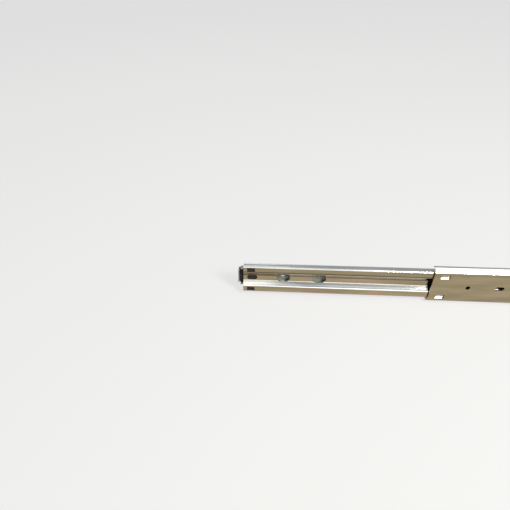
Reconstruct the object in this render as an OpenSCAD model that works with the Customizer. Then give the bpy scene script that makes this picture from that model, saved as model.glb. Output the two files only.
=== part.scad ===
// Full-extension ball-bearing drawer slide in three sections, right-hand side of the drawer.
// +X runs from the front to the rear, +Y from the cabinet wall to the drawer, +Z up.
// The origin is on the cabinet member's mounting face, at mid height of its front end.
// As drawn, the intermediate member stands fully out of the cabinet member and the drawer
// member is closed inside it.

/* [Section] */
// Overall height of the slide, which is the cabinet member's height
slide_h = 45.7; // [45:0.1:47]
// Overall thickness, from the cabinet wall to the drawer side
slide_t = 12.7; // [12.5:0.05:13.2]
// Thickness of the members' steel sheet
sheet = 1.2; // [1.1:0.05:1.3]
// Thickness of the ball cages' steel strip
cage_sheet = 0.5; // [0.4:0.05:0.6]
// Diameter of the balls
ball_d = 4.76; // [4.6:0.02:4.9]
// Running clearance between a ball and each race
race_clearance = 0.05; // [0.03:0.01:0.08]
// Distance of the outer ball rows from the cabinet wall
outer_row_y = 6.1; // [6:0.05:6.3]
// Distance of the inner ball rows from the cabinet wall
inner_row_y = 8.7; // [8.6:0.05:8.9]
// Flat between the outer and the inner race on the intermediate member's flange
race_flat = 1.4; // [1.2:0.1:1.8]
// Bend radius of the members' corners, at mid sheet
corner_r = 0.9; // [0.8:0.05:1]
// Space between the cabinet member's web and the intermediate member
web_space = 1.0; // [0.9:0.05:1.1]
// Space between the intermediate member and the inner cage
inner_cage_gap = 0.3; // [0.2:0.05:0.35]
// Depth of the recess along the middle of the intermediate member
recess_depth = 4.1; // [3.9:0.1:4.3]
// Half height of the recess floor
recess_floor_half = 4; // [3.8:0.1:4.2]
// Half height of the recess at its mouth
recess_mouth_half = 9.5; // [9.3:0.1:9.7]
// Bend radius along the recess, at mid sheet
recess_bend_r = 3; // [2.4:0.1:3.2]

/* [Lengths] */
// Length of the cabinet member
cabinet_l = 400; // [390:5:450]
// Room behind the closed intermediate member for the closing detent
detent_room = 14; // [13:0.5:16]
// Room behind the closed drawer member for its bumper
drawer_room = 16; // [15:0.5:18]
// Length of the outer ball cage
outer_cage_l = 160; // [130:5:165]
// Length of the inner ball cage
inner_cage_l = 140; // [120:5:145]
// Pitch of the balls in a cage
ball_pitch = 10; // [8:1:14]
// Clearance that a stop keeps when a piece has come to it
stop_clearance = 0.3; // [0.2:0.05:0.5]

/* [Lanced stops] */
// Length of a lanced window along the slide
window_l = 9.1; // [8:0.1:10]
// Height of a lanced window
window_h = 5.2; // [4.8:0.1:5.4]
// Height of band left between the recess and a window
window_margin = 1.4; // [1.2:0.1:1.6]
// Distance of the intermediate member's front windows from its end
window_inset = 4.1; // [4:0.1:6]
// Distance of the cabinet member's stop tabs from its front end
cabinet_tab_x = 6.5; // [6:0.1:8]
// Distance of the intermediate member's rear stop tabs from its rear end
rear_tab_inset = 17.7; // [17:0.1:20]
// Distance of the drawer member's stop rivets from its rear end
stop_rivet_inset = 8.6; // [7:0.1:12]
// Reach of the inward tabs beyond the intermediate member's sheet
inner_tab_reach = 1.8; // [1.5:0.1:2.1]
// Clearance between an outward or cabinet tab and the member it passes
tab_clearance = 0.15; // [0.1:0.05:0.2]

/* [Openings in the members] */
// Length of the obround openings at the intermediate member's ends
end_slot_l = 11.3; // [10.5:0.1:12]
// Height of the obround openings at the intermediate member's ends
end_slot_h = 6.6; // [6:0.1:7]
// Distance of an obround opening from the member's end
end_slot_inset = 4.1; // [3.5:0.1:6]
// Length of an access hole for a screwdriver
access_l = 15; // [13:0.5:17]
// Height of an access hole
access_h = 8.8; // [8:0.1:9]
// Diameter of the screw holes in the cabinet and the drawer member
screw_hole_d = 4.6; // [4.2:0.1:5.2]
// End to end length of the slotted screw holes
screw_slot_l = 9; // [7:0.5:11]
// First round screw hole of the drawer member, from the intermediate member's front end
drawer_hole_x = 44; // [42:0.5:46]
// Distance between the two access holes of a pair
access_step = 39.2; // [36:0.2:42]
// From a round screw hole of the drawer member to the slotted one behind it
drawer_slot_step = 64; // [60:0.5:66]
// Distance of the rear round screw hole of the drawer member from its rear end
drawer_rear_hole = 86; // [80:1:86]
// First round screw hole of the cabinet member, from its front end
cabinet_hole_x = 37; // [35:1:42]
// From a round screw hole of the cabinet member to the slotted one beside it
cabinet_slot_step = 32; // [28:1:36]
// Distance of the rear round screw hole of the cabinet member from its rear end
cabinet_rear_hole = 43; // [38:1:60]

/* [Front end of the drawer member] */
// How far the drawer member's front tab stands ahead of the intermediate member
tab_ahead = 6; // [5:0.1:7]
// How far the drawer member's flanges stand ahead of the intermediate member
flange_ahead = 3.3; // [2.5:0.1:3.6]
// Height of the front tab
tab_h = 20; // [18:0.1:20.6]
// Length of the front tab from the drawer side toward the cabinet
tab_l = 5.2; // [4.5:0.1:6]
// Radius of the front tab's free corners
tab_corner_r = 1.5; // [0.5:0.1:3]

/* [Ends of the flanges] */
// Angle above horizontal at which the cabinet member's race lip ends
cabinet_lip_angle = 28; // [25:1:40]
// Angle above horizontal at which the intermediate member's race lip ends
crest_lip_angle = 52; // [48:1:60]
// Angle below horizontal at which the drawer member's race lip ends
drawer_lip_angle = 50; // [45:1:55]
// Drop of the cabinet member's corner bend below the outer ball row
shoulder_drop = 0.9; // [0.8:0.05:1]
// Width of a cage flange beyond the ball centre
cage_lip = 2.9; // [2.8:0.1:3]

/* [Front stop and release lever] */
// Length of the front stop block
block_l = 16.2; // [15:0.2:17]
// Gap between the front stop block and the intermediate member's front end
block_inset = 2; // [1.5:0.1:2.6]
// Clearance between the block or the lever and the piece that slides past it
slide_clearance = 0.5; // [0.4:0.05:0.6]
// Clearance round a boss or a pin in its hole
pin_clearance = 0.05; // [0.03:0.01:0.08]
// Height of the screw head channel through the front stop block
channel_h = 10; // [9.6:0.1:10.2]
// Height below mid height at which the block's lower shoulder starts
lower_shoulder_z = 7; // [6.8:0.1:7.4]
// Height of the front stop block
block_h = 18; // [17.4:0.1:18.4]
// Thickness of the block's wings behind the lanced windows
wing_t = 1.2; // [1:0.1:1.4]
// Depth of the windows' plugs below the intermediate member's face
plug_depth = 0.4; // [0.2:0.05:0.6]
// Height of the rubber buffer behind the front tab
front_bumper_h = 17.2; // [16:0.2:18]
// Thickness of the release lever
lever_t = 2.1; // [1.8:0.05:2.2]
// Distance from the lever's shoulder to its pivot
lever_arm = 36; // [34:0.5:38]
// Distance from the lever's shoulder to the front of its finger pad
lever_reach = 38; // [36:0.5:40]
// Diameter of the pin that the lever turns on
lever_pin_d = 4; // [3.6:0.1:4.2]

/* [Stops and bumpers] */
// Diameter of a rivet shank
rivet_d = 3; // [2.6:0.1:3.2]
// Diameter of a rivet head
rivet_head_d = 5; // [4.6:0.1:5.4]
// Height of a rivet head
rivet_head_h = 0.9; // [0.7:0.05:1.1]
// Width of the closing detent's tongue on the intermediate member
tongue_w = 4.4; // [4:0.1:4.8]
// Length of the tongue
tongue_l = 6; // [5.5:0.1:6.5]
// Thickness of a detent prong
prong_t = 1.8; // [1.5:0.1:2]
// Height of the closing detent's body
detent_h = 30; // [28:0.5:31]

/* [Hidden] */

$fn = 48;
arc_steps = 7;
eps = 0.01;
// Height above mid height at which each half section starts
half_start = 0.5;
// Room that the inner cage's fork keeps behind the stop block
cage_notch_room = 4;
// Bend radius, and height and width of the knee, of the cages
cage_bend_r = 0.8;
cage_knee = [1.1, 1.2];
// Corner radius of rubber and moulded pieces, and edge break of the rivet heads
pad_r = 1.2;
head_break = 0.3;
half_sheet = sheet / 2;
ball_r = ball_d / 2;
race_r = ball_r + race_clearance + half_sheet;

// Rows of balls, as [y, z] of the upper row's centre
outer_row = [outer_row_y, slide_h / 2 - sheet - race_clearance - ball_r];
inner_row = [inner_row_y, outer_row[1] - sqrt(4 * race_r * race_r + race_flat * race_flat
    - (inner_row_y - outer_row_y) * (inner_row_y - outer_row_y))];

// Mid-sheet distances from the cabinet wall
cabinet_web_y = half_sheet;
band_y = sheet + web_space + half_sheet;
recess_y = band_y + recess_depth;
drawer_web_y = slide_t - half_sheet;

// Along the intermediate member, from its front end
intermediate_l = cabinet_l - detent_room;
drawer_rear = intermediate_l - drawer_room;
front_tab_x = window_inset + window_l - half_sheet;
rear_tab_x = intermediate_l - rear_tab_inset;
inner_cage_front_x = front_tab_x + sheet + stop_clearance;
cage_stop_x = drawer_rear - stop_rivet_inset;
window_z = recess_mouth_half + window_margin + window_h / 2;

// A stage runs out until its cage is held between the stops of its two members
outer_cage_x = cabinet_tab_x + sheet + stop_clearance;
first_travel = rear_tab_x - stop_clearance - outer_cage_l - outer_cage_x;
second_travel = cage_stop_x - rivet_head_d / 2 - stop_clearance - inner_cage_l - inner_cage_front_x;
intermediate_x = -first_travel;
inner_cage_x = intermediate_x + inner_cage_front_x + second_travel / 2;
block_rear_x = block_inset + block_l;
shoulder_x = block_rear_x + stop_clearance + second_travel;
cage_notch_l = block_rear_x + cage_notch_room - inner_cage_front_x;
cage_notch_half = block_h / 2 + slide_clearance;

// Points and arcs ------------------------------------------------------------

function polar(c, r, a) = [c[0] + r * cos(a), c[1] + r * sin(a)];
function bearing(a, b) = atan2(b[1] - a[1], b[0] - a[0]);
function flat(p) = [p[0], p[1]];
function unit(v) = v / norm(v);
function reversed(list) = [for (i = [len(list) - 1:-1:0]) list[i]];
function mirrored(list) = [for (p = list) [p[0], -p[1]]];
function arc(c, r, a0, a1) = [for (i = [0:arc_steps]) polar(c, r, a0 + (a1 - a0) * i / arc_steps)];

// Arc of radius r that rounds the corner b between the points a and c
function fillet(a, b, c, r) =
    let (u = unit(a - b), v = unit(c - b), half = acos(u * v) / 2,
        centre = b + unit(u + v) * r / sin(half),
        side = cross(u, v) > 0 ? -1 : 1,
        start = bearing(centre, b + u * r / tan(half)))
    arc(centre, r, start, start + side * (180 - 2 * half));

function rounded_at(pts, i, n) =
    pts[i][2] > 0
        ? fillet(flat(pts[(i + n - 1) % n]), flat(pts[i]), flat(pts[(i + 1) % n]), pts[i][2])
        : [flat(pts[i])];

// Open path or closed outline through [y, z, radius] points
function rounded(pts) = [for (i = [0:len(pts) - 1]) each rounded_at(pts, i, len(pts))];

// Path moved sideways by d, to the left of its direction
function side_normal(a, b) = unit([a[1] - b[1], b[0] - a[0]]);
function shifted(path, d) =
    [for (i = [0:len(path) - 1])
        let (n0 = side_normal(path[max(i - 1, 0)], path[max(i, 1)]),
            last = len(path) - 1,
            n1 = side_normal(path[min(i, last - 1)], path[min(i + 1, last)]),
            n = unit(n0 + n1))
        path[i] + n * d / (n * n0)];

// Path without the points that repeat where two arcs meet
function joined(path) =
    [for (i = [0:len(path) - 1]) if (i == 0 || norm(path[i] - path[max(i - 1, 0)]) > eps) path[i]];

// Sheet of thickness t along a path
module sheet_outline(path, t) {
    polygon(concat(shifted(path, t / 2), reversed(shifted(path, -t / 2))));
}

// Rolled section along X, from its upper half path [y, z]
module rolled(half_path, t, x0, length) {
    translate([x0, 0, 0])
        rotate([90, 0, 90])
            linear_extrude(height = length)
                sheet_outline(joined(concat(reversed(mirrored(half_path)), half_path)), t);
}

// Section paths --------------------------------------------------------------

// Recess floor, slope and band of the intermediate member, as corner points
recess_path = [[recess_y, 0], [recess_y, recess_floor_half], [band_y, recess_mouth_half],
    [band_y, outer_row[1]]];

// The same corners moved sideways by d, with their bend radii
function recess_corners(d) =
    let (p = shifted(recess_path, -d))
    [[p[0][0], half_start, 0], [p[1][0], p[1][1], recess_bend_r + d], [p[2][0], p[2][1], recess_bend_r - d]];

// Cabinet member: web, corner bend, outer race
cabinet_corner = [cabinet_web_y + corner_r, outer_row[1] - shoulder_drop];
cabinet_slope = bearing(cabinet_corner, outer_row)
    + asin((race_r - corner_r) / norm(outer_row - cabinet_corner)) + 90;
cabinet_path = concat([[cabinet_web_y, half_start]],
    arc(cabinet_corner, corner_r, 180, cabinet_slope),
    arc(outer_row, race_r, cabinet_slope, cabinet_lip_angle));

// Intermediate member: recess, band, corner bend, outer race, inner race
band_corner = [band_y + corner_r, outer_row[1] - sqrt(pow(race_r + corner_r, 2)
    - pow(outer_row_y - band_y - corner_r, 2))];
band_slope = bearing(band_corner, outer_row);
race_slope = bearing(outer_row, inner_row) - atan2(race_flat, 2 * race_r);
intermediate_path = concat(
    rounded(concat(recess_corners(0), [[band_y, band_corner[1], 0]])),
    arc(band_corner, corner_r, 180, band_slope),
    arc(outer_row, race_r, band_slope - 180, race_slope),
    arc(inner_row, race_r, race_slope + 180, crest_lip_angle));

// Drawer member: web, corner bend, inner race
drawer_corner = [drawer_web_y - corner_r, inner_row[1] - sqrt(pow(race_r + corner_r, 2)
    - pow(drawer_web_y - corner_r - inner_row_y, 2))];
drawer_slope = bearing(drawer_corner, inner_row);
drawer_path = concat([[drawer_web_y, half_start]],
    arc(drawer_corner, corner_r, 0, drawer_slope),
    arc(inner_row, race_r, drawer_slope - 180, -180 + drawer_lip_angle));

// Cages: they follow the intermediate member's web and end in a flange through the ball centres
outer_cage_offset = -(half_sheet + web_space / 2);
inner_cage_offset = half_sheet + inner_cage_gap + cage_sheet / 2;
outer_cage_y = band_y + outer_cage_offset;
inner_cage_y = band_y + inner_cage_offset;
outer_cage_path = rounded(concat(recess_corners(outer_cage_offset),
    [[outer_cage_y, outer_row[1] - cage_knee[1], cage_bend_r],
     [outer_cage_y + cage_knee[0], outer_row[1], cage_bend_r],
     [outer_row_y + cage_lip, outer_row[1], 0]]));
inner_cage_path = rounded(concat(recess_corners(inner_cage_offset),
    [[inner_cage_y, inner_row[1], cage_bend_r],
     [inner_row_y + cage_lip, inner_row[1], 0]]));

// Shared shapes --------------------------------------------------------------

// Round hole or pin along Y
module pin_y(x, z, d, y0, y1) {
    translate([x, y0, z])
        rotate([-90, 0, 0])
            cylinder(d = d, h = y1 - y0);
}

// Obround prism along Y, long in X, its middle at x and z
module obround_y(x, z, length, d, y0, y1) {
    run = (length - d) / 2;
    for (side = [-1, 1])
        pin_y(x + side * run, z, d, y0, y1);
    translate([x - run, y0, z - d / 2])
        cube([2 * run, y1 - y0, d]);
}

// Block between two corners, given from low to high
module block(low, high) {
    translate(low)
        cube(high - low);
}

// The same piece above and below mid height
module both_halves() {
    children();
    mirror([0, 0, 1])
        children();
}

// Prism with a closed outline in X and Z, between y0 and y1
module plate_y(outline, y0, y1) {
    translate([0, y1, 0])
        rotate([90, 0, 0])
            linear_extrude(height = y1 - y0)
                polygon(outline);
}

// Rectangle in X and Z with rounded corners, as high above as below mid height
function rounded_box(x0, x1, half) =
    rounded([[x0, -half, pad_r], [x1, -half, pad_r], [x1, half, pad_r], [x0, half, pad_r]]);

// Window lanced in a band, starting at x
module window_y(x, y0, y1) {
    block([x, y0, window_z - window_h / 2], [x + window_l, y1, window_z + window_h / 2]);
}

// Tab bent out of such a window
module stop_tab_y(x, y0, y1) {
    block([x, y0, window_z - window_h / 2], [x + sheet, y1, window_z + window_h / 2 - half_sheet]);
}

// Round head along Y whose edge is broken at y1, which may be below y0
module head_y(x, z, d, y0, y1) {
    side = sign(y1 - y0);
    translate([x, y0, z])
        rotate([-90 * side, 0, 0]) {
            cylinder(d = d, h = abs(y1 - y0) - head_break);
            translate([0, 0, abs(y1 - y0) - head_break])
                cylinder(d1 = d, d2 = d - 2 * head_break, h = head_break);
        }
}

// Rivet along Y with a head at its high end and a flush head sunk at its low end
module rivet_y(x, z, y0, y1, d) {
    pin_y(x, z, d, y0, y1 + rivet_head_h / 2);
    head_y(x, z, rivet_head_d, y1, y1 + rivet_head_h);
    pin_y(x, z, rivet_head_d - 2 * pin_clearance, y0, y0 + half_sheet - pin_clearance);
}

// Hole in a sheet for such a rivet
module rivet_seat_y(x, z, sheet_y, d) {
    pin_y(x, z, d + 2 * pin_clearance, sheet_y - eps, sheet_y + sheet + eps);
    pin_y(x, z, rivet_head_d, sheet_y - eps, sheet_y + half_sheet);
}

// Row of balls along X
module ball_row(row, x0, length, half) {
    count = floor(length / ball_pitch);
    first = x0 + (length - (count - 1) * ball_pitch) / 2;
    for (i = [0:count - 1])
        translate([first + i * ball_pitch, row[0], half * row[1]])
            sphere(d = ball_d);
}

// Holes in a cage flange for a row of balls
module ball_holes(row, x0, length) {
    count = floor(length / ball_pitch);
    first = x0 + (length - (count - 1) * ball_pitch) / 2;
    for (i = [0:count - 1])
        translate([first + i * ball_pitch, row[0], row[1] - cage_sheet])
            cylinder(d = ball_d + 2 * race_clearance, h = 2 * cage_sheet);
}

// Cabinet member and what is fixed to it -------------------------------------

// Gap between the closed tongue and the detent's body, and the body's inset from the rear end
detent_gap = 1;
detent_inset = 0.5;
// Rise of the body above the recess, of its wings above the band, and its rivets' place
detent_rise = 2;
wing_rise = 2.4;
detent_rivet_z = 7.5;
// Gap between the closed member and the prongs' tips, and length and height of their lead-in
prong_gap = 0.8;
prong_lead = [2, 0.6];
detent_x = intermediate_l + tongue_l + detent_gap;
detent_rear = cabinet_l - detent_inset;
detent_rivet_x = (detent_x + detent_rear) / 2;
detent_top = recess_y + detent_rise;
wing_top = band_y + wing_rise;
prong_x = intermediate_l + prong_gap;
prong_z = tongue_w / 2 + stop_clearance;

module cabinet_member() color("#c3b795") {
    difference() {
        rolled(cabinet_path, sheet, 0, cabinet_l);
        both_halves()
            window_y(cabinet_tab_x + half_sheet, -eps, sheet + eps);
        for (x = [cabinet_hole_x, cabinet_l - cabinet_rear_hole])
            pin_y(x, 0, screw_hole_d, -eps, sheet + eps);
        for (x = [cabinet_hole_x + cabinet_slot_step,
                cabinet_l - cabinet_rear_hole - cabinet_slot_step])
            obround_y(x, 0, screw_slot_l, screw_hole_d, -eps, sheet + eps);
        for (side = [-1, 1])
            rivet_seat_y(detent_rivet_x, side * detent_rivet_z, 0, rivet_d);
    }
    both_halves()
        stop_tab_y(cabinet_tab_x, half_sheet, sheet + web_space - tab_clearance);
}

// One of the detent's two prongs, with a lead-in at its tip
prong_outline = [[detent_x + pad_r, prong_z, 0], [prong_x + prong_lead[0], prong_z, 1],
    [prong_x, prong_z + prong_lead[1], 0.4], [prong_x, prong_z + prong_t, 0.6],
    [detent_x + pad_r, prong_z + prong_t, 0]];

// Moulded detent: two prongs close on the intermediate member's tongue
module closing_detent() color("#1d1d1f") {
    difference() {
        union() {
            plate_y(rounded_box(detent_x, detent_rear, detent_h / 2), sheet, wing_top);
            plate_y(rounded_box(detent_x, detent_rear, recess_mouth_half), sheet, detent_top);
            both_halves()
                plate_y(rounded(prong_outline), recess_y - detent_rise, detent_top);
        }
        for (side = [-1, 1])
            pin_y(detent_rivet_x, side * detent_rivet_z, rivet_d + 2 * pin_clearance,
                sheet - eps, detent_top + eps);
    }
}

module detent_rivets() color("#b9bbbd") {
    for (side = [-1, 1])
        rivet_y(detent_rivet_x, side * detent_rivet_z, pin_clearance, detent_top, rivet_d);
}

// Rubber pad above mid height that the intermediate member closes on
bumper_pad_outline = [[intermediate_l + stop_clearance, recess_mouth_half, pad_r], [detent_x, recess_mouth_half, 0],
    [detent_x, detent_h / 2 - half_start, 0], [intermediate_l + stop_clearance, detent_h / 2 - half_start, pad_r]];

module bumper_pad() {
    plate_y(rounded(bumper_pad_outline), sheet, wing_top);
}

module closing_bumper_top() color("#2b2a2a") {
    bumper_pad();
}

module closing_bumper_bottom() color("#2b2a2a") {
    mirror([0, 0, 1])
        bumper_pad();
}

// Outer ball cage and its balls ----------------------------------------------

module outer_ball_cage() color("#b8b3a2") {
    difference() {
        rolled(outer_cage_path, cage_sheet, outer_cage_x, outer_cage_l);
        both_halves()
            ball_holes(outer_row, outer_cage_x, outer_cage_l);
    }
}

module outer_balls_top() color("#d5d7d8") {
    ball_row(outer_row, outer_cage_x, outer_cage_l, 1);
}

module outer_balls_bottom() color("#d5d7d8") {
    ball_row(outer_row, outer_cage_x, outer_cage_l, -1);
}

// Intermediate member and what is fixed to it --------------------------------

block_seat = recess_y + half_sheet;
block_top = slide_t - sheet - slide_clearance;
// Thickness of the block's skin on the member
block_skin = 0.5;
// Overlap of the tongue with the recess floor that it continues
tongue_root = 1;
// Rear buffer: its inset from the member's rear end, the gap to the drawer side, and its edge
// beyond the opening that it is plugged into
bumper_inset = 2;
bumper_gap = 0.3;
bumper_edge = 1;
drawer_pair_x = [drawer_hole_x, drawer_rear - drawer_rear_hole];
skin_offset = half_sheet + block_skin / 2;
skin_line = shifted(recess_path, -skin_offset);
wing_z = band_corner[1];
wing_x = front_tab_x - tab_clearance;
bumper_x = drawer_rear + stop_clearance;
bumper_rear = intermediate_l - bumper_inset;
bumper_top = slide_t - bumper_gap;
front_slot_x = end_slot_inset + end_slot_l / 2;
rear_slot_x = intermediate_l - front_slot_x;

// Distance from the cabinet wall of the middle of the block's skin, at height z
function skin_y(z) = z <= skin_line[1][1] ? skin_line[1][0]
    : skin_line[1][0] + (skin_line[2][0] - skin_line[1][0]) * (z - skin_line[1][1])
        / (skin_line[2][1] - skin_line[1][1]);

// Half paths of the block's skin: up to a shoulder's top, and on to the end of the band
skin_corners = recess_corners(skin_offset);
shoulder_skin = rounded([skin_corners[0], skin_corners[1], [skin_y(block_h / 2), block_h / 2, 0]]);
wing_skin = rounded(concat(skin_corners, [[band_y + skin_offset, wing_z, 0]]));

// Section of a shoulder that stands on the skin
function shoulder(z_in, z_out) =
    [[skin_y(z_in), z_in], [skin_y(z_out), z_out], [block_top, z_out], [block_top, z_in]];

module access_holes() {
    for (x = drawer_pair_x, step = [0, access_step])
        obround_y(x + step, 0, access_l, access_h, band_y, block_seat + eps);
}

module intermediate_member() color("#c8bb98") {
    translate([intermediate_x, 0, 0]) {
        difference() {
            union() {
                rolled(intermediate_path, sheet, 0, intermediate_l);
                block([intermediate_l - tongue_root, recess_y - half_sheet, -tongue_w / 2],
                    [intermediate_l + tongue_l, recess_y + half_sheet, tongue_w / 2]);
            }
            both_halves()
                for (x = [window_inset, rear_tab_x + half_sheet])
                    window_y(x, band_y - sheet, band_y + half_sheet + eps);
            for (x = [front_slot_x, rear_slot_x])
                obround_y(x, 0, end_slot_l, end_slot_h, band_y, block_seat + eps);
            access_holes();
        }
        both_halves() {
            stop_tab_y(front_tab_x, band_y, band_y + half_sheet + inner_tab_reach);
            stop_tab_y(rear_tab_x, sheet + tab_clearance, band_y);
        }
    }
}

// Boss that snaps into an obround opening from the drawer side
module slot_boss(x) {
    obround_y(x, 0, end_slot_l - 4 * pin_clearance, end_slot_h - 4 * pin_clearance,
        recess_y, block_seat + block_skin);
}

// Wing of the block behind a lanced window, with the plug that snaps into the window
module wing() {
    play = 2 * pin_clearance;
    low_z = window_z - window_h / 2 + play;
    high_z = window_z + window_h / 2 - play;
    back_y = band_y + half_sheet + wing_t;
    block([block_inset, band_y + skin_offset, low_z - half_start], [wing_x, back_y, high_z]);
    block([window_inset + play, band_y - half_sheet + plug_depth, low_z], [wing_x, back_y, high_z]);
}

// Moulded block at the front: a shoulder stops the release lever, and screw heads pass below it
module front_stop_block() color("#1d1d1f") {
    translate([intermediate_x, 0, 0]) {
        rolled(wing_skin, block_skin, block_inset, wing_x - block_inset);
        rolled(shoulder_skin, block_skin, wing_x, block_rear_x - wing_x);
        translate([block_inset, 0, 0])
            rotate([90, 0, 90])
                linear_extrude(height = block_l) {
                    polygon(shoulder(channel_h / 2, block_h / 2));
                    mirror([0, 1])
                        polygon(shoulder(lower_shoulder_z, block_h / 2));
                }
        both_halves()
            wing();
        slot_boss(front_slot_x);
    }
}

// Rubber buffer at the rear that the drawer member closes on
module intermediate_bumper() color("#2b2a2a") {
    translate([intermediate_x, 0, 0]) {
        plate_y(rounded_box(bumper_x, bumper_rear, end_slot_h / 2 + bumper_edge), block_seat, bumper_top);
        slot_boss(rear_slot_x);
    }
}

// Inner ball cage and its balls ----------------------------------------------

module inner_ball_cage() color("#b8b3a2") {
    difference() {
        rolled(inner_cage_path, cage_sheet, inner_cage_x, inner_cage_l);
        block([inner_cage_x - eps, band_y, -cage_notch_half],
            [inner_cage_x + cage_notch_l, slide_t, cage_notch_half]);
        both_halves()
            ball_holes(inner_row, inner_cage_x, inner_cage_l);
    }
}

module inner_balls_top() color("#d5d7d8") {
    ball_row(inner_row, inner_cage_x, inner_cage_l, 1);
}

module inner_balls_bottom() color("#d5d7d8") {
    ball_row(inner_row, inner_cage_x, inner_cage_l, -1);
}

// Drawer member and what is fixed to it --------------------------------------

web_face = slide_t - sheet;
// How much wider a flush head is than its shank
flush_rim = 2;
// Cage stop rivets: their place above and below mid height, and the gap to the recess
stop_rivet_z = 2.6;
stop_rivet_gap = 0.2;
// Length of web from which the front tab starts
tab_root = 2;
pivot_x = shoulder_x + lever_arm;
pad_x = shoulder_x - lever_reach;
lever_back = web_face - tab_clearance;
lever_front = lever_back - lever_t;
stop_rivet_top = block_seat + stop_rivet_gap;

// Web carried past the flanges and bent toward the cabinet
module front_tab() {
    bend_x = half_sheet - tab_ahead;
    free_y = slide_t - tab_l;
    intersection() {
        translate([0, 0, -tab_h / 2])
            linear_extrude(height = tab_h)
                sheet_outline(rounded([[tab_root, drawer_web_y, 0], [bend_x, drawer_web_y, corner_r],
                    [bend_x, free_y, 0]]), sheet);
        translate([-tab_ahead - tab_root, 0, 0])
            rotate([90, 0, 90])
                linear_extrude(height = tab_ahead + 3 * tab_root)
                    polygon(rounded([[free_y, tab_h / 2, tab_corner_r], [slide_t, tab_h / 2, 0],
                        [slide_t, -tab_h / 2, 0], [free_y, -tab_h / 2, tab_corner_r]]));
    }
}

front_bumper_x0 = sheet - tab_ahead + stop_clearance;
front_bumper_x1 = block_inset - stop_clearance;
front_plug_x = (front_bumper_x0 + front_bumper_x1) / 2;

module drawer_member() color("#c3b795") {
    translate([intermediate_x, 0, 0])
        difference() {
            union() {
                rolled(drawer_path, sheet, -flange_ahead, drawer_rear + flange_ahead);
                front_tab();
            }
            for (x = drawer_pair_x) {
                pin_y(x, 0, screw_hole_d, web_face - eps, slide_t + eps);
                obround_y(x + drawer_slot_step, 0, screw_slot_l, screw_hole_d,
                    web_face - eps, slide_t + eps);
            }
            for (side = [-1, 1])
                web_rivet_seat_y(cage_stop_x, side * stop_rivet_z, rivet_d);
            web_rivet_seat_y(pivot_x, 0, lever_pin_d);
            pin_y(front_plug_x, 0, rivet_d + 2 * pin_clearance, web_face - eps, slide_t + eps);
        }
}

// Rubber buffer behind the front tab, plugged into the web, that meets the stop block
module front_bumper() color("#2b2a2a") {
    translate([intermediate_x, 0, 0]) {
        plate_y(rounded_box(front_bumper_x0, front_bumper_x1, front_bumper_h / 2),
            block_seat + slide_clearance, web_face);
        pin_y(front_plug_x, 0, rivet_d, web_face - eps, slide_t - pin_clearance);
    }
}

// Hole in the drawer member's web for a rivet whose flush head is on the drawer side
module web_rivet_seat_y(x, z, d) {
    pin_y(x, z, d + 2 * pin_clearance, web_face - eps, slide_t + eps);
    pin_y(x, z, d + flush_rim, slide_t - half_sheet, slide_t + eps);
}

// Rivet whose flush head is on the drawer side; its body stands on the web
module web_rivet_y(x, z, d, body_d, body_y) {
    head_y(x, z, body_d, web_face, body_y);
    flush_pin_y(x, z, d, web_face - eps);
}

// Pin from y0 with a flush head on the drawer side
module flush_pin_y(x, z, d, y0) {
    pin_y(x, z, d, y0, slide_t - pin_clearance);
    pin_y(x, z, d + flush_rim - 2 * pin_clearance, slide_t - half_sheet + pin_clearance,
        slide_t - pin_clearance);
}

// Two rivets that the inner cage runs against at full extension
module cage_stop_rivets() color("#b9bbbd") {
    translate([intermediate_x, 0, 0])
        for (side = [-1, 1])
            web_rivet_y(cage_stop_x, side * stop_rivet_z, rivet_d, rivet_head_d, stop_rivet_top);
}

// Play that the lever's arm and tooth keep inside the block's channel and its height
lever_play = 0.4;
arm_top = channel_h / 2 - lever_play;
tooth_top = block_h / 2 - lever_play;
// Finger pad's length, and the heights of its lower edge and the arm's lower edge
pad_l = 13;
pad_low = -0.5;
arm_low = 0.6;
// Pivot end's half height and half length
eye_half = 4.4;
eye_reach = 5;
// Length of the tooth's crest and of its ramp, and the ramp's drop
tooth_l = 3;
ramp_l = 10;
ramp_drop = 1;

// Outline of the lever in X and Z: finger pad, arm, pivot end, ramp and stop tooth
lever_outline = [
    [pad_x, arm_top, 2], [pad_x, pad_low, 2], [pad_x + pad_l, pad_low, 2], [pad_x + pad_l + 2, arm_low, 2],
    [pivot_x - 2 * eye_reach, arm_low, 4], [pivot_x - eye_reach, -eye_half, 3],
    [pivot_x + eye_reach, -eye_half, 4], [pivot_x + eye_reach, eye_half, 4],
    [pivot_x - eye_reach, eye_half + 2 * lever_play, 3], [shoulder_x + ramp_l, tooth_top - ramp_drop, 3],
    [shoulder_x + tooth_l, tooth_top, 1], [shoulder_x, tooth_top, 0.4], [shoulder_x, arm_top, 0.8]];

// Spring leg moulded with the lever: its thickness, drop and length, and its path in X and Z
leg_t = 0.9;
leg_drop = 6.4;
leg_l = 24;
leg_path = rounded([[pivot_x - 2, -leg_drop / 2, 0], [pivot_x - 9, -leg_drop, 4], [pivot_x - leg_l, -leg_drop, 0]]);

// Ridges across the finger pad: how many, their diameter, their pitch and the first one's inset
ridges = 4;
ridge_d = 1;
ridge_pitch = 2.2;
ridge_inset = 3;

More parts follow.
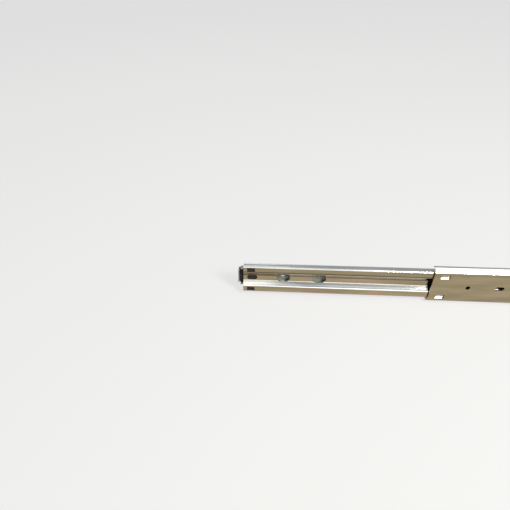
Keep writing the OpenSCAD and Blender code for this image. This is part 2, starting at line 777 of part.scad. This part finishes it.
module release_lever() color("#1d1d1f") {
    translate([intermediate_x, 0, 0]) {
        difference() {
            union() {
                plate_y(rounded(lever_outline), lever_front, lever_back);
                translate([0, lever_back, 0])
                    rotate([90, 0, 0])
                        linear_extrude(height = lever_t)
                            sheet_outline(leg_path, leg_t);
                for (i = [0:ridges - 1])
                    translate([pad_x + ridge_inset + i * ridge_pitch, lever_front, arm_low])
                        cylinder(d = ridge_d, h = arm_top - arm_low - 2 * lever_play);
            }
            pin_y(pivot_x, 0, lever_pin_d + 2 * pin_clearance, lever_front - eps, lever_back + eps);
            pin_y(pivot_x, 0, lever_pin_d + flush_rim + 4 * pin_clearance, lever_front - eps,
                lever_front + rivet_head_h + pin_clearance);
        }
    }
}

module lever_pin() color("#b9bbbd") {
    translate([intermediate_x, 0, 0]) {
        head_y(pivot_x, 0, lever_pin_d + flush_rim, lever_front + rivet_head_h, lever_front + pin_clearance);
        flush_pin_y(pivot_x, 0, lever_pin_d, lever_front + pin_clearance + head_break);
    }
}

cabinet_member();
closing_detent();
detent_rivets();
closing_bumper_top();
closing_bumper_bottom();
outer_ball_cage();
outer_balls_top();
outer_balls_bottom();
intermediate_member();
front_stop_block();
intermediate_bumper();
inner_ball_cage();
inner_balls_top();
inner_balls_bottom();
drawer_member();
front_bumper();
cage_stop_rivets();
release_lever();
lever_pin();
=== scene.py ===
import math

import bpy
from mathutils import Euler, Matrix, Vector


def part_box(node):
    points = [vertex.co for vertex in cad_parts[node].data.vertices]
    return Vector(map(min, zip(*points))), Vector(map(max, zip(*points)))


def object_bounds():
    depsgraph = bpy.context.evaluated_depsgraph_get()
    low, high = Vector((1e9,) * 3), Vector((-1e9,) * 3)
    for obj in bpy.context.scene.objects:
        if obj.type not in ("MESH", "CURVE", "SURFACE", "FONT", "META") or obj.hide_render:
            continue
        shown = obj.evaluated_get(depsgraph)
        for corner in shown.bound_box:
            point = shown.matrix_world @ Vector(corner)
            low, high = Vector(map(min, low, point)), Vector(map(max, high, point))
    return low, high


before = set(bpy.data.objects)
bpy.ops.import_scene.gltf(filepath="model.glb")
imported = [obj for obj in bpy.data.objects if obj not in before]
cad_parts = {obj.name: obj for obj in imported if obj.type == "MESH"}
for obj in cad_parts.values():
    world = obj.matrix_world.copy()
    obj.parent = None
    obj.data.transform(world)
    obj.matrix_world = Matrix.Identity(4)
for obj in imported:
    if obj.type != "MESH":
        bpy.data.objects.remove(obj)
cad_low, cad_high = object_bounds()


# Camera ----------------------------------------------------------------------
# It stands on the cabinet's side of the pulled-out slide and looks down on the front end.
# Its place is in millimetres from the front end of the intermediate member at mid height, and its
# turns are in degrees.

MM = 0.001
CAMERA_PLACE = (15.54, -390.30, 333.81)
CAMERA_TURN = (52.60, 2.26, 5.62)
CAMERA_LENS = 32.57
CAMERA_SHIFT = (0.0865, 0.0015)

front_of_slide = Vector((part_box("intermediate_member")[0].x, 0, 0))

camera_data = bpy.data.cameras.new("camera")
camera_data.sensor_width = 36
camera_data.lens = CAMERA_LENS
camera_data.shift_x, camera_data.shift_y = CAMERA_SHIFT
camera_data.dof.use_dof = False
camera_data.clip_start = 0.01
camera_data.clip_end = 100
camera = bpy.data.objects.new("camera", camera_data)
camera.location = front_of_slide + Vector(CAMERA_PLACE) * MM
camera.rotation_euler = Euler([math.radians(angle) for angle in CAMERA_TURN])
bpy.context.scene.collection.objects.link(camera)
bpy.context.scene.camera = camera


# Bench top and light ---------------------------------------------------------
# The slide stands on a bench top of matt white laminate, which takes its soft shadow and gives its
# metal something pale to mirror. Round it are a white sweep and a grey room. The soft lamps lie
# along the slide, so that its whole length has the same light.

bpy.context.scene.view_settings.view_transform = "Standard"


def linear(hex_colour):
    """An sRGB hex colour as linear red, green, blue and alpha."""
    channels = [int(hex_colour[i:i + 2], 16) / 255 for i in (1, 3, 5)]
    return [c / 12.92 if c <= 0.04045 else ((c + 0.055) / 1.055) ** 2.4 for c in channels] + [1]


def add_node(tree, kind, sockets=None, **settings):
    """One node with its settings; sockets gives inputs a value, or a node or output to link."""
    node = tree.nodes.new(kind)
    for name, value in settings.items():
        setattr(node, name, value)
    for name, value in (sockets or {}).items():
        if isinstance(value, bpy.types.Node):
            value = next(output for output in value.outputs if output.enabled)
        if isinstance(value, bpy.types.NodeSocket):
            tree.links.new(value, node.inputs[name])
        else:
            node.inputs[name].default_value = value
    return node


def new_material(name):
    """An empty node material and its tree."""
    material = bpy.data.materials.new(name)
    material.use_nodes = True
    material.node_tree.nodes.clear()
    return material, material.node_tree


ROOM_GREY = "#A6ABB3"
SWEEP_WHITE = "#E4E4E2"
# Sines of the heights above the horizon between which the white sweep turns to the grey room
SWEEP_TOP = {"From Min": 0.16, "From Max": 0.42}
BENCH_HALF = 6.0
# What the laminate scatters of the lamps' light, and the glow that adds the rest of its white.
# The eye and polished metal see the glow, and it lights nothing.
LAMINATE_SCATTER = "#5A5955"
LAMINATE_GLOW = 0.68

world = bpy.data.worlds.new("pale_room")
world.use_nodes = True
tree = world.node_tree
tree.nodes.clear()
place = add_node(tree, "ShaderNodeTexCoord").outputs["Generated"]
direction = add_node(tree, "ShaderNodeSeparateXYZ", {0: place})
room = add_node(tree, "ShaderNodeMapRange", {
    "Value": direction.outputs["Z"], **SWEEP_TOP}, interpolation_type="SMOOTHSTEP")
walls = add_node(tree, "ShaderNodeMix", {
    "Factor": room, "A": linear(SWEEP_WHITE), "B": linear(ROOM_GREY)}, data_type="RGBA")
background = add_node(tree, "ShaderNodeBackground", {"Color": walls})
add_node(tree, "ShaderNodeOutputWorld", {"Surface": background})
bpy.context.scene.world = world

bench_mesh = bpy.data.meshes.new("bench_top")
bench_mesh.from_pydata(
    [(x * BENCH_HALF, y * BENCH_HALF, cad_low.z) for x, y in ((-1, -1), (1, -1), (1, 1), (-1, 1))],
    [], [(0, 1, 2, 3)])
bench = bpy.data.objects.new("bench_top", bench_mesh)
bpy.context.scene.collection.objects.link(bench)

material, tree = new_material("matt_white_laminate")
rays = add_node(tree, "ShaderNodeLightPath")
seen = add_node(tree, "ShaderNodeMath", {
    0: rays.outputs["Is Camera Ray"], 1: rays.outputs["Is Glossy Ray"]}, operation="MAXIMUM")
seen = add_node(tree, "ShaderNodeMath", {
    0: seen, 1: rays.outputs["Is Transmission Ray"]}, operation="MAXIMUM")
glow = add_node(tree, "ShaderNodeMath", {0: seen, 1: LAMINATE_GLOW}, operation="MULTIPLY")
glow = add_node(tree, "ShaderNodeEmission", {"Color": linear("#FFFFFF"), "Strength": glow})
laminate = add_node(tree, "ShaderNodeBsdfDiffuse", {"Color": linear(LAMINATE_SCATTER)})
laminate = add_node(tree, "ShaderNodeAddShader", {0: laminate, 1: glow})
add_node(tree, "ShaderNodeOutputMaterial", {"Surface": laminate})
bench_mesh.materials.append(material)

# Name, the point that it faces, direction from there to the lamp, distance, size along and across
# the slide, watts; lengths are in metres. The low strip and the top one light the whole length,
# the others the front end.
LAMPS = [
    ("low_strip", (0.10, 0, 0), (0.0, -0.98, 0.20), 1.4, 3.4, 0.46, 7.8),
    ("front_softbox", (-0.20, 0, 0), (-0.10, -0.80, 0.60), 1.3, 0.50, 0.30, 0.48),
    ("rim_softbox", (-0.20, 0, 0), (-0.14, 0.74, 0.66), 1.3, 0.60, 0.36, 0.8),
    ("top_softbox", (0.10, 0, 0), (0.0, -0.09, 1.0), 1.3, 3.0, 0.95, 10.3),
    ("side_softbox", (-0.15, 0, 0), (0.58, -0.60, 0.78), 1.3, 0.36, 0.36, 28),
]
for name, aim, direction, distance, along, across, watts in LAMPS:
    data = bpy.data.lights.new(name, "AREA")
    data.shape = "RECTANGLE"
    data.size = along
    data.size_y = across
    data.energy = watts
    lamp = bpy.data.objects.new(name, data)
    towards = Vector(direction).normalized()
    lamp.location = Vector(aim) + towards * distance
    lamp.rotation_mode = "QUATERNION"
    lamp.rotation_quaternion = towards.to_track_quat("Z", "Y")
    bpy.context.scene.collection.objects.link(lamp)


# Rolled members --------------------------------------------------------------
# The cabinet, intermediate and drawer members: 1.2 mm steel strip, bright zinc plated, dipped in a
# clear passivate and roll formed. The flats show the film's warm colour. Surfaces that face up,
# the bends most, are painted pale as a painted highlight, and the recess's upper side has a
# painted highlight and painted shade lines along its bends. The drawer member's inside has gone
# dull under grease and dust, which nothing wipes.

FLAT_ZINC = "#A29376"
ROSY_ZINC = "#AD9179"
OLIVE_ZINC = "#918E6E"
# The pale colour below is a painted highlight for surfaces that face up
PAINTED_HIGHLIGHT_ZINC = "#E6E5DF"
DUSTY_ZINC = "#A3A598"
GREASY_ZINC = "#83877A"

# Marks on the strip: millimetres from one to the next along the strip and across it, and octaves.
# Roll lines lie 0.1 mm apart on the strip: they are drawn 0.6 mm apart so that they show.
STRIP_MARKS = {
    "rosy_bloom": (71, 8.3, 2),
    "olive_bloom": (50, 6.2, 2),
    "cloud": (83, 11, 2),
    "roll_lines": (250, 0.62, 3),
    "waves": (36, 17, 1),
    "grease": (17, 4.5, 3),
}
# Noise values at which a patch starts and at which it is full
ROSY_PATCHES = {"From Min": 0.52, "From Max": 0.7}
OLIVE_PATCHES = {"From Min": 0.52, "From Max": 0.72}
GREASE_PATCHES = {"From Min": 0.35, "From Max": 0.7}
# How much darker and lighter the film gets, and how rough it is on and beside the roll lines
CLOUD_TONE = {"From Min": 0.3, "From Max": 0.7, "To Min": 0.82, "To Max": 1.14}
ROLLED_ROUGHNESS = {"From Min": 0.3, "From Max": 0.7, "To Min": 0.11, "To Max": 0.19}
# The roll lines' bump is 0.02 of one as deep as the waves
WAVE_DEPTH = 0.4 * MM
ROLL_LINE_STRENGTH = 0.02

# Upward part of a surface's normal where the painted highlight starts, and where it is full.
# The second pair is for the recess's upper side, which faces down.
FACING_UP = {"From Min": 0.08, "From Max": 0.35}
FACING_DOWN = {"From Min": -0.25, "From Max": -0.5}
# Heights above and below mid height: beside the recess's floor the painted highlight is only 0.6
# as strong
BESIDE_FLOOR = {"From Min": 5.2 * MM, "From Max": 6.8 * MM, "To Min": 0.6}
# The recess's upper side gets a painted highlight below its mouth, except for a stretch at the
# front end
BELOW_MOUTH = {"From Min": 10.5 * MM, "From Max": 9.5 * MM}
BEHIND_FRONT = {
    "From Min": front_of_slide.x + 30 * MM, "From Max": front_of_slide.x + 50 * MM}
# Painted shade lies along the two bends of that side, at these heights, and fades out beside them.
# Right on a bend the painted shade leaves 0.45 of the colour's brightness.
PAINTED_SHADE_LINES = (3.2 * MM, 10.4 * MM)
PAINTED_SHADE_FADE = {"From Min": 0.5 * MM, "From Max": 1.1 * MM, "To Min": 0.45}

# The drawer member's inside faces the cabinet, so there the part of its normal that points away
# from the cabinet is negative. Under the grease it looks less metallic, and rougher.
INSIDE = {"From Min": -0.3, "From Max": 0.3, "To Min": 1, "To Max": 0}
METAL_UNDER_GREASE = {"To Min": 1, "To Max": 0.3}
GREASE_ROUGHNESS = 0.42

# Points nearer to each other than this are one, and faces that turn by less are one flat
SAME_POINT = 0.02 * MM
SAME_FLAT = math.radians(0.1)
# Edges that turn by more than this are broken; a bend shades smooth up to the second angle
BROKEN_FROM = math.radians(40)
SMOOTH_UP_TO = math.radians(38)
STRIP_EDGE = 0.12 * MM

# Finish, member, whether its inside has gone dull, and whether it has the recess along its middle
ROLLED_MEMBERS = [
    ("bright_zinc_plated_rolled_steel", "cabinet_member", False, False),
    # The intermediate member's recess gets a painted highlight and painted shade lines along its
    # bends
    ("bright_zinc_plated_rolled_steel_painted_light_in_recess", "intermediate_member", False, True),
    ("zinc_plated_rolled_steel_dull_inside", "drawer_member", True, False),
]


def dress(node, finish, edge):
    """Gives a CAD node its finish, smooth bends and a broken edge of that width."""
    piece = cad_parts[node]
    piece.data.materials.clear()
    piece.data.materials.append(finish)
    if piece.data.has_custom_normals:
        piece.data.attributes.remove(piece.data.attributes["custom_normal"])
    piece.data.polygons.foreach_set("use_smooth", [True] * len(piece.data.polygons))
    weld = piece.modifiers.new("weld", "WELD")
    weld.merge_threshold = SAME_POINT
    # Each flat becomes one face, so that no line shows across it
    joined = piece.modifiers.new("joined_flats", "DECIMATE")
    joined.decimate_type = "DISSOLVE"
    joined.angle_limit = SAME_FLAT
    if edge:
        broken = piece.modifiers.new("broken_edge", "BEVEL")
        broken.width = edge
        broken.segments = 2
        broken.limit_method = "ANGLE"
        broken.angle_limit = BROKEN_FROM
        broken.use_clamp_overlap = True
    split = piece.modifiers.new("sharp", "EDGE_SPLIT")
    split.split_angle = SMOOTH_UP_TO
    # Large flats keep their own direction, so that they mirror flat
    flats = piece.modifiers.new("flats", "WEIGHTED_NORMAL")
    flats.keep_sharp = True


for name, member, dull, recessed in ROLLED_MEMBERS:
    material, tree = new_material(name)
    place = add_node(tree, "ShaderNodeTexCoord").outputs["Object"]
    position = add_node(tree, "ShaderNodeSeparateXYZ", {0: place})
    facing = add_node(tree, "ShaderNodeNewGeometry").outputs["Normal"]
    facing = add_node(tree, "ShaderNodeSeparateXYZ", {0: facing})
    marks = {}
    for mark, (along, across, octaves) in STRIP_MARKS.items():
        stretched = add_node(tree, "ShaderNodeMapping", {
            "Vector": place, "Scale": (1 / (along * MM), 1 / (across * MM), 1 / (across * MM))})
        marks[mark] = add_node(tree, "ShaderNodeTexNoise", {
            "Vector": stretched, "Scale": 1, "Detail": octaves})

    # The film's faint bloom of colour, in patches some centimetres long
    rosy = add_node(tree, "ShaderNodeMapRange", {
        "Value": marks["rosy_bloom"], **ROSY_PATCHES}, interpolation_type="SMOOTHSTEP")
    olive = add_node(tree, "ShaderNodeMapRange", {
        "Value": marks["olive_bloom"], **OLIVE_PATCHES}, interpolation_type="SMOOTHSTEP")
    film = add_node(tree, "ShaderNodeMix", {
        "Factor": rosy, "A": linear(FLAT_ZINC), "B": linear(ROSY_ZINC)}, data_type="RGBA")
    film = add_node(tree, "ShaderNodeMix", {
        "Factor": olive, "A": film, "B": linear(OLIVE_ZINC)}, data_type="RGBA")

    # Painted highlight: surfaces that face up, the bends most, are painted pale. Beside the
    # recess's floor only a share of that painted highlight is painted.
    height = add_node(tree, "ShaderNodeMath", {0: position.outputs["Z"]}, operation="ABSOLUTE")
    upward = add_node(tree, "ShaderNodeMapRange", {
        "Value": facing.outputs["Z"], **FACING_UP}, interpolation_type="SMOOTHSTEP")
    highlight_share = add_node(tree, "ShaderNodeMapRange", {
        "Value": height, **BESIDE_FLOOR}, interpolation_type="SMOOTHSTEP")
    painted_highlight = add_node(tree, "ShaderNodeMath", {0: upward, 1: highlight_share}, operation="MULTIPLY")
    # The recess's upper side, which faces down, gets a painted highlight along its lower bend
    if recessed:
        downward = add_node(tree, "ShaderNodeMapRange", {
            "Value": facing.outputs["Z"], **FACING_DOWN}, interpolation_type="SMOOTHSTEP")
        below_mouth = add_node(tree, "ShaderNodeMapRange", {
            "Value": height, **BELOW_MOUTH}, interpolation_type="SMOOTHSTEP")
        behind_front = add_node(tree, "ShaderNodeMapRange", {
            "Value": position.outputs["X"], **BEHIND_FRONT}, interpolation_type="SMOOTHSTEP")
        wear_and_highlight = add_node(tree, "ShaderNodeMath", {
            0: downward, 1: below_mouth}, operation="MULTIPLY")
        wear_and_highlight = add_node(tree, "ShaderNodeMath", {
            0: wear_and_highlight, 1: behind_front}, operation="MULTIPLY")
        painted_highlight = add_node(tree, "ShaderNodeMath", {0: painted_highlight, 1: wear_and_highlight}, operation="MAXIMUM")
    # Painted highlight: the pale colour is mixed in where the masks above are strong
    colour = add_node(tree, "ShaderNodeMix", {
        "Factor": painted_highlight, "A": film, "B": linear(PAINTED_HIGHLIGHT_ZINC)}, data_type="RGBA")
    cloud = add_node(tree, "ShaderNodeMapRange", {
        "Value": marks["cloud"], **CLOUD_TONE}, interpolation_type="SMOOTHSTEP")
    colour = add_node(tree, "ShaderNodeVectorMath", {
        0: colour, "Scale": cloud}, operation="SCALE")
    # Painted shade: dark lines painted along the recess's two upper bends
    for line in PAINTED_SHADE_LINES if recessed else ():
        beside = add_node(tree, "ShaderNodeMath", {
            0: position.outputs["Z"], 1: line}, operation="SUBTRACT")
        beside = add_node(tree, "ShaderNodeMath", {0: beside}, operation="ABSOLUTE")
        shade = add_node(tree, "ShaderNodeMapRange", {
            "Value": beside, **PAINTED_SHADE_FADE}, interpolation_type="SMOOTHSTEP")
        colour = add_node(tree, "ShaderNodeVectorMath", {
            0: colour, "Scale": shade}, operation="SCALE")
    rough = add_node(tree, "ShaderNodeMapRange", {
        "Value": marks["roll_lines"], **ROLLED_ROUGHNESS}, interpolation_type="SMOOTHSTEP")

    metal = 1
    if dull:
        inside = add_node(tree, "ShaderNodeMapRange", {
            "Value": facing.outputs["Y"], **INSIDE}, interpolation_type="SMOOTHSTEP")
        grease = add_node(tree, "ShaderNodeMapRange", {
            "Value": marks["grease"], **GREASE_PATCHES}, interpolation_type="SMOOTHSTEP")
        grease = add_node(tree, "ShaderNodeMix", {
            "Factor": grease, "A": linear(DUSTY_ZINC), "B": linear(GREASY_ZINC)},
            data_type="RGBA")
        colour = add_node(tree, "ShaderNodeMix", {
            "Factor": inside, "A": colour, "B": grease}, data_type="RGBA")
        metal = add_node(tree, "ShaderNodeMapRange", {"Value": inside, **METAL_UNDER_GREASE})
        rough = add_node(tree, "ShaderNodeMix", {
            "Factor": inside, "A": rough, "B": GREASE_ROUGHNESS}, data_type="FLOAT")

    # The rolls leave the strip slightly wavy, so that the edges of reflections wander
    waves = add_node(tree, "ShaderNodeBump", {
        "Height": marks["waves"], "Strength": 1, "Distance": WAVE_DEPTH})
    lines = add_node(tree, "ShaderNodeBump", {
        "Height": marks["roll_lines"], "Strength": ROLL_LINE_STRENGTH, "Distance": WAVE_DEPTH,
        "Normal": waves})
    steel = add_node(tree, "ShaderNodeBsdfPrincipled", {
        "Base Color": colour, "Metallic": metal, "Roughness": rough, "Normal": lines})
    add_node(tree, "ShaderNodeOutputMaterial", {"Surface": steel})
    dress(member, material, STRIP_EDGE)


# Ball cages ------------------------------------------------------------------
# Two cages of 0.5 mm steel strip, stamped, folded and zinc plated, that hold the balls in their
# rows. The plating is matt, with the smears of the balls' grease along the rows.

CAGE_ZINC = "#B5B1A4"
SMEARED_ZINC = "#8F8A7B"
# From one smear to the next, along the rows and across them
SMEAR_LENGTH = 11 * MM
SMEAR_WIDTH = 2.5 * MM
SMEAR_PATCHES = {"From Min": 0.4, "From Max": 0.75}
CAGE_ROUGHNESS = {"To Min": 0.26, "To Max": 0.4}

material, tree = new_material("zinc_plated_stamped_strip")
place = add_node(tree, "ShaderNodeTexCoord").outputs["Object"]
stretched = add_node(tree, "ShaderNodeMapping", {
    "Vector": place, "Scale": (1 / SMEAR_LENGTH, 1 / SMEAR_WIDTH, 1 / SMEAR_WIDTH)})
smear = add_node(tree, "ShaderNodeTexNoise", {"Vector": stretched, "Scale": 1, "Detail": 3})
smear = add_node(tree, "ShaderNodeMapRange", {
    "Value": smear, **SMEAR_PATCHES}, interpolation_type="SMOOTHSTEP")
colour = add_node(tree, "ShaderNodeMix", {
    "Factor": smear, "A": linear(CAGE_ZINC), "B": linear(SMEARED_ZINC)}, data_type="RGBA")
rough = add_node(tree, "ShaderNodeMapRange", {"Value": smear, **CAGE_ROUGHNESS})
steel = add_node(tree, "ShaderNodeBsdfPrincipled", {
    "Base Color": colour, "Metallic": 1, "Roughness": rough})
add_node(tree, "ShaderNodeOutputMaterial", {"Surface": steel})
for node in ("outer_ball_cage", "inner_ball_cage"):
    dress(node, material, 0)


# Balls -----------------------------------------------------------------------
# Hardened chrome steel balls of 3/16 inch, lapped bright, with a thin uneven film of grease that
# dulls the mirror in spots.

LAPPED_CHROME = "#DDDFE0"
GREASED_CHROME = "#B3AFA3"
GREASE_SPOT = 2.5 * MM
FILM_PATCHES = {"From Min": 0.4, "From Max": 0.7}
BALL_ROUGHNESS = {"To Min": 0.05, "To Max": 0.22}

material, tree = new_material("lapped_chrome_steel")
place = add_node(tree, "ShaderNodeTexCoord").outputs["Object"]
film = add_node(tree, "ShaderNodeTexNoise", {
    "Vector": place, "Scale": 1 / GREASE_SPOT, "Detail": 2})
film = add_node(tree, "ShaderNodeMapRange", {
    "Value": film, **FILM_PATCHES}, interpolation_type="SMOOTHSTEP")
colour = add_node(tree, "ShaderNodeMix", {
    "Factor": film, "A": linear(LAPPED_CHROME), "B": linear(GREASED_CHROME)}, data_type="RGBA")
rough = add_node(tree, "ShaderNodeMapRange", {"Value": film, **BALL_ROUGHNESS})
steel = add_node(tree, "ShaderNodeBsdfPrincipled", {
    "Base Color": colour, "Metallic": 1, "Roughness": rough})
add_node(tree, "ShaderNodeOutputMaterial", {"Surface": steel})
for node in ("outer_balls_top", "outer_balls_bottom", "inner_balls_top", "inner_balls_bottom"):
    dress(node, material, 0)


# Rivets and pin --------------------------------------------------------------
# Zinc plated steel rivets for the detent and for the inner cage's stop, and the pin that the
# release lever turns on. They are headed cold, and the heading tool leaves their heads mottled
# and uneven.

RIVET_ZINC = "#C9C8C3"
MOTTLED_ZINC = "#A5A194"
TOOL_MARK = 1.1 * MM
TOOL_MARK_DEPTH = 0.1 * MM
TOOL_MARK_PATCHES = {"From Min": 0.35, "From Max": 0.7}
RIVET_ROUGHNESS = {"To Min": 0.22, "To Max": 0.42}

material, tree = new_material("zinc_plated_rivet_steel")
place = add_node(tree, "ShaderNodeTexCoord").outputs["Object"]
mottle = add_node(tree, "ShaderNodeTexNoise", {
    "Vector": place, "Scale": 1 / TOOL_MARK, "Detail": 3})
mottle = add_node(tree, "ShaderNodeMapRange", {
    "Value": mottle, **TOOL_MARK_PATCHES}, interpolation_type="SMOOTHSTEP")
colour = add_node(tree, "ShaderNodeMix", {
    "Factor": mottle, "A": linear(RIVET_ZINC), "B": linear(MOTTLED_ZINC)}, data_type="RGBA")
rough = add_node(tree, "ShaderNodeMapRange", {"Value": mottle, **RIVET_ROUGHNESS})
bump = add_node(tree, "ShaderNodeBump", {
    "Height": mottle, "Strength": 0.2, "Distance": TOOL_MARK_DEPTH})
steel = add_node(tree, "ShaderNodeBsdfPrincipled", {
    "Base Color": colour, "Metallic": 1, "Roughness": rough, "Normal": bump})
add_node(tree, "ShaderNodeOutputMaterial", {"Surface": steel})
for node in ("detent_rivets", "cage_stop_rivets", "lever_pin"):
    dress(node, material, 0)


# Moulded pieces --------------------------------------------------------------
# Closing detent, front stop block and release lever: black acetal, injection moulded in a finely
# eroded mould, so that it is matt. Handling has rubbed some spots paler.

BLACK_ACETAL = "#16100B"
RUBBED_ACETAL = "#251D16"
# The mould's grain is 0.1 mm wide on the piece: drawn 0.6 mm wide so that it shows
MOULD_GRAIN = 0.6 * MM
MOULD_GRAIN_DEPTH = 0.2 * MM
ACETAL_ROUGHNESS = {"To Min": 0.42, "To Max": 0.6}
RUBBED_SPOT = 4 * MM
RUBBED_PATCHES = {"From Min": 0.5, "From Max": 0.75}
MOULDED_EDGE = 0.12 * MM

material, tree = new_material("moulded_black_acetal")
place = add_node(tree, "ShaderNodeTexCoord").outputs["Object"]
grain = add_node(tree, "ShaderNodeTexNoise", {
    "Vector": place, "Scale": 1 / MOULD_GRAIN, "Detail": 2})
wear_and_highlight = add_node(tree, "ShaderNodeTexNoise", {
    "Vector": place, "Scale": 1 / RUBBED_SPOT, "Detail": 4})
wear_and_highlight = add_node(tree, "ShaderNodeMapRange", {
    "Value": wear_and_highlight, **RUBBED_PATCHES}, interpolation_type="SMOOTHSTEP")
colour = add_node(tree, "ShaderNodeMix", {
    "Factor": wear_and_highlight, "A": linear(BLACK_ACETAL), "B": linear(RUBBED_ACETAL)}, data_type="RGBA")
rough = add_node(tree, "ShaderNodeMapRange", {"Value": grain, **ACETAL_ROUGHNESS})
bump = add_node(tree, "ShaderNodeBump", {
    "Height": grain, "Strength": 0.2, "Distance": MOULD_GRAIN_DEPTH})
plastic = add_node(tree, "ShaderNodeBsdfPrincipled", {
    "Base Color": colour, "Roughness": rough, "IOR": 1.48, "Specular IOR Level": 0.3,
    "Normal": bump})
add_node(tree, "ShaderNodeOutputMaterial", {"Surface": plastic})
for node in ("closing_detent", "release_lever"):
    dress(node, material, MOULDED_EDGE)
# The stop block's edges lie too close together to be broken
dress("front_stop_block", material, 0)


# Bumpers ---------------------------------------------------------------------
# Black nitrile rubber pads, pressed into their seats, that the members close on: dull and slightly
# rough, with a dusty bloom.

BLACK_RUBBER = "#120E0B"
DUSTY_RUBBER = "#2B2722"
RUBBER_GRAIN = 0.8 * MM
RUBBER_GRAIN_DEPTH = 0.3 * MM
RUBBER_ROUGHNESS = {"To Min": 0.66, "To Max": 0.86}
DUST_SPOT = 3.3 * MM
DUST_PATCHES = {"From Min": 0.5, "From Max": 0.8}
RUBBER_EDGE = 0.2 * MM

material, tree = new_material("black_nitrile_rubber")
place = add_node(tree, "ShaderNodeTexCoord").outputs["Object"]
grain = add_node(tree, "ShaderNodeTexNoise", {
    "Vector": place, "Scale": 1 / RUBBER_GRAIN, "Detail": 3})
dust = add_node(tree, "ShaderNodeTexNoise", {
    "Vector": place, "Scale": 1 / DUST_SPOT, "Detail": 4})
dust = add_node(tree, "ShaderNodeMapRange", {
    "Value": dust, **DUST_PATCHES}, interpolation_type="SMOOTHSTEP")
colour = add_node(tree, "ShaderNodeMix", {
    "Factor": dust, "A": linear(BLACK_RUBBER), "B": linear(DUSTY_RUBBER)}, data_type="RGBA")
rough = add_node(tree, "ShaderNodeMapRange", {"Value": grain, **RUBBER_ROUGHNESS})
bump = add_node(tree, "ShaderNodeBump", {
    "Height": grain, "Strength": 0.3, "Distance": RUBBER_GRAIN_DEPTH})
rubber = add_node(tree, "ShaderNodeBsdfPrincipled", {
    "Base Color": colour, "Roughness": rough, "IOR": 1.52, "Specular IOR Level": 0.3,
    "Normal": bump})
add_node(tree, "ShaderNodeOutputMaterial", {"Surface": rubber})
for node in ("closing_bumper_top", "closing_bumper_bottom", "intermediate_bumper", "front_bumper"):
    dress(node, material, RUBBER_EDGE)
